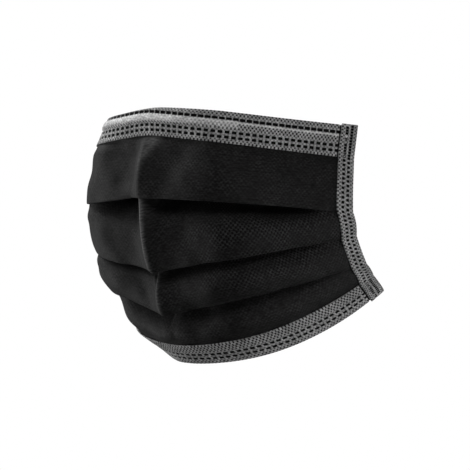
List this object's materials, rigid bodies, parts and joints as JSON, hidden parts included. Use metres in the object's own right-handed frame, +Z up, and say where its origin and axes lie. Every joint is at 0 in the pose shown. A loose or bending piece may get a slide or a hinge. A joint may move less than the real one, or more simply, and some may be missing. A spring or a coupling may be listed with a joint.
{
  "type": "disposable face mask",
  "caption": "Pleated disposable face mask, open and curved as worn, with knife pleats, bound hems and sides, and a nose wire inside the top hem.",
  "frame": {"origin": "on the centre line, where the bridge of the nose touches the inside of the top hem, 6 mm below its edge", "axes": "+X to the wearer's left, +Y back towards the wearer, +Z up; the front of the mask faces -Y"},
  "size_m": [0.1372, 0.0973, 0.112],
  "materials": {
    "black_nonwoven": "black spunbond nonwoven with a fine diamond emboss and a soft grey sheen",
    "grey_binding": "dark grey nonwoven tape, ultrasonically welded with rows of small recessed dots",
    "coated_wire": "plastic-coated steel wire, flat"
  },
  "bodies": {
    "root": {"mask_body": "black_nonwoven", "top_hem": "grey_binding", "bottom_hem": "grey_binding", "side_binding_left": "grey_binding", "side_binding_right": "grey_binding", "nose_wire": "coated_wire"}
  },
  "joints": []
}
